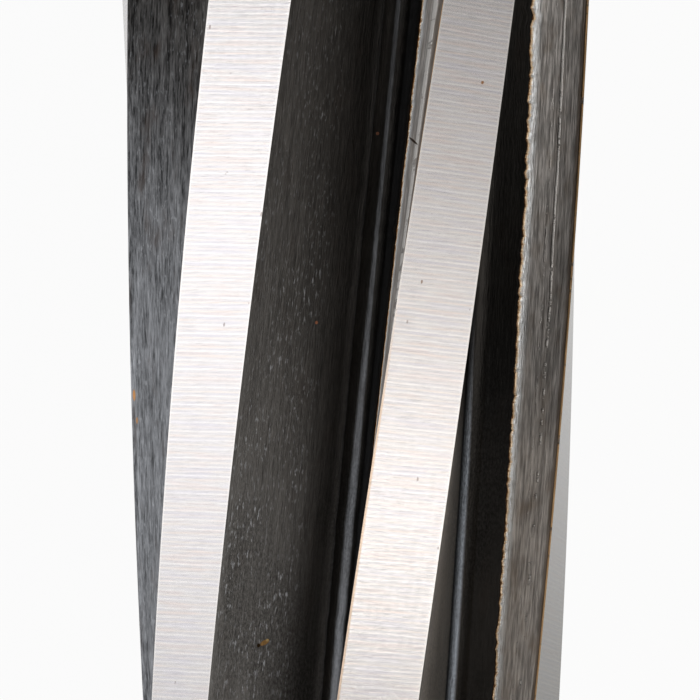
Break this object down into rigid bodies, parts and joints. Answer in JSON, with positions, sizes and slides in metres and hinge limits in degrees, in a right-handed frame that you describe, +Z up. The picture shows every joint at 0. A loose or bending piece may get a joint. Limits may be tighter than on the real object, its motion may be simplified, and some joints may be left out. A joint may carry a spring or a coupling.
{
  "type": "peg hole reamer",
  "caption": "Tapered hand reamer with right-hand helical flutes, a plain round shank and a cross handle with barrel knobs, for reaming tapered peg holes.",
  "frame": {"origin": "centre of the bounding box in plan, on the surface that the tool lies on", "axes": "+Y runs along the tool from its tip to its handle end, +X along the cross handle to the right, +Z up from the surface it lies on. The tool's own axis rises 1.91 degrees towards +Y, because it rests on its two knobs and a cutting edge near its tip"},
  "size_m": [0.116, 0.1806, 0.02],
  "materials": {
    "cutter_steel": "ground lands over black oxide flutes, plain ground shank",
    "bar_steel": "turned and polished",
    "knob_black": "polished phenolic",
    "bush_brass": "turned",
    "screw_black": "black oxide"
  },
  "bodies": {
    "root": {"reamer": "cutter_steel", "cross_bar": "bar_steel", "lock_screw": "screw_black", "left_knob": "knob_black", "right_knob": "knob_black", "left_knob_bush": "bush_brass", "right_knob_bush": "bush_brass"}
  },
  "joints": []
}
